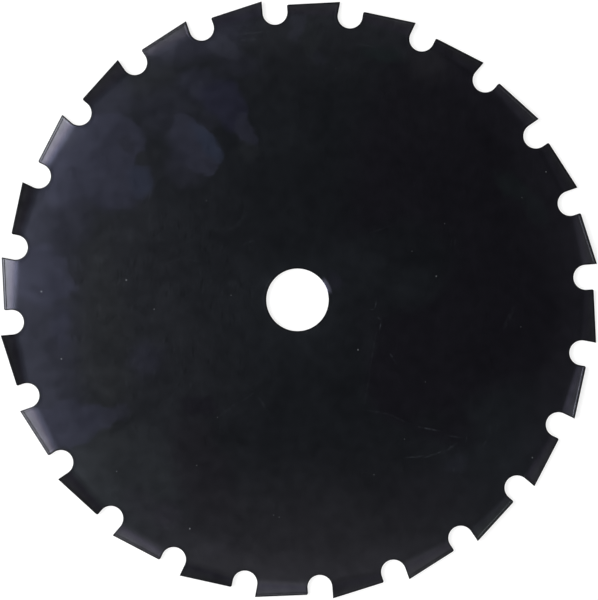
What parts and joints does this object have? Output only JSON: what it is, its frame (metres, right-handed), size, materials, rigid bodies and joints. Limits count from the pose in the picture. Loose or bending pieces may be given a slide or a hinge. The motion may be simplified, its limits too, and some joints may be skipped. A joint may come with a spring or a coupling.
{
  "type": "brush cutter blade",
  "caption": "Flat round steel plate with a plain bore in the middle and a rim of straight-backed teeth, set up and down in turn, between U-shaped gullets.",
  "frame": {"origin": "centre of the bore at half the plate's thickness, which is also the centre of the part's box", "axes": "+Z along the bore's axis, square to the plate; a gullet is centred on +X, and seen from +Z every tooth leads with its tip clockwise"},
  "size_m": [0.2444, 0.2444, 0.0028],
  "materials": {
    "lacquered_steel": "satin blue-black stove lacquer"
  },
  "bodies": {
    "root": {"brush_cutter_blade": "lacquered_steel"}
  },
  "joints": []
}
